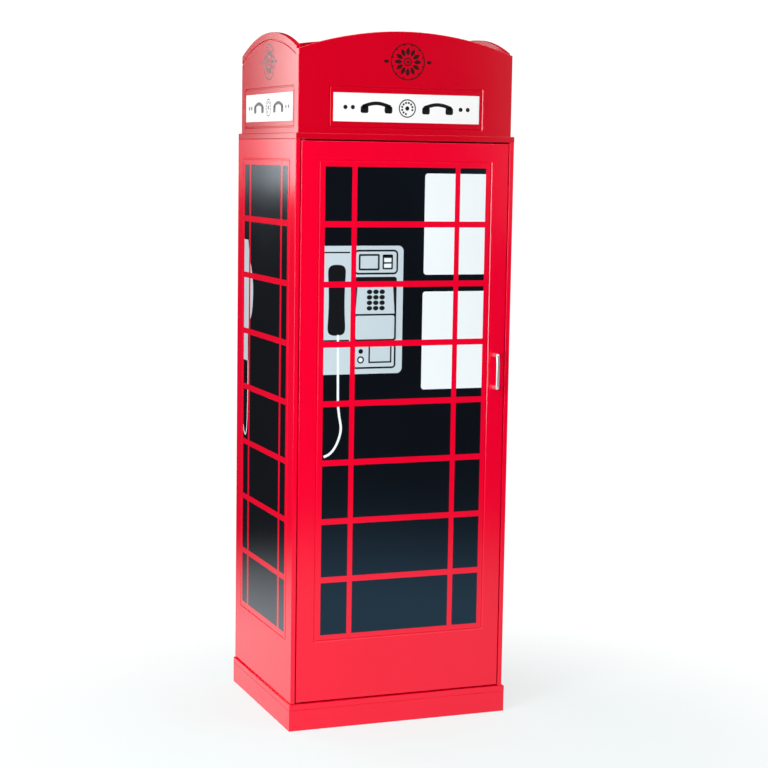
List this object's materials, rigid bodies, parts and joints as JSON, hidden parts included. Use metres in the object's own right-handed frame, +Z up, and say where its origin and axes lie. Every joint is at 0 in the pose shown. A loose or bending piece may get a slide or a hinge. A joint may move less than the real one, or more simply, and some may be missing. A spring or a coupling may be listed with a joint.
{
  "type": "kiosk-shaped wardrobe cabinet",
  "caption": "Tall narrow wardrobe in the shape of a red telephone kiosk: arched crown with sign plates, printed window panes, a hinged door with a bow handle, shelves and a clothes rail inside.",
  "frame": {"origin": "on the floor, at the middle of the footprint, the handle included", "axes": "+Z up, +X to the right seen from the front, the door faces -Y"},
  "size_m": [0.61, 0.53, 1.8],
  "materials": {
    "red_lacquer_board": "high gloss red lacquer on fibreboard",
    "white_board": "satin white board",
    "plain_wood": "unfinished softwood",
    "window_print": "gloss black printed film",
    "white_plate": "gloss white plate",
    "bright_steel": "polished",
    "steel": "zinc plated",
    "black_plastic": "moulded black nylon",
    "magnet": "dull grey"
  },
  "bodies": {
    "carcass": {"base_panel": "red_lacquer_board", "plinth_front": "red_lacquer_board", "plinth_back": "red_lacquer_board", "plinth_left": "red_lacquer_board", "plinth_right": "red_lacquer_board", "side_panel_left": "red_lacquer_board", "side_panel_right": "red_lacquer_board", "top_panel": "red_lacquer_board", "crown_front": "red_lacquer_board", "crown_back": "red_lacquer_board", "crown_left": "red_lacquer_board", "crown_right": "red_lacquer_board", "back_panel": "red_lacquer_board", "plinth_blocks": "plain_wood", "crown_blocks": "plain_wood", "crown_dowels": "plain_wood", "shelf_lower": "white_board", "shelf_upper": "white_board", "window_print_left": "window_print", "window_print_right": "window_print", "sign_plate_front": "white_plate", "sign_plate_left": "white_plate", "sign_plate_right": "white_plate", "back_screws": "steel", "cams": "steel", "cam_bolts": "steel", "shelf_pins": "steel", "clothes_rail": "bright_steel", "rail_sockets": "bright_steel", "rail_screws": "steel", "catch_body": "black_plastic", "catch_magnet": "magnet", "catch_screws": "steel", "pivot_bush_bottom": "black_plastic", "pivot_bush_top": "black_plastic"},
    "door": {"door": "red_lacquer_board", "window_print_door": "window_print", "handle": "bright_steel", "handle_screws": "steel", "strike_plate": "steel", "strike_screws": "steel", "pivot_pin_bottom": "steel", "pivot_pin_top": "steel"}
  },
  "joints": [
    {"name": "door_hinge", "type": "hinge", "parent": "carcass", "child": "door", "pos_m": [-0.276, -0.2275, 0.79725], "axis": [0, 0, -1], "range_deg": [0, 110]}
  ]
}
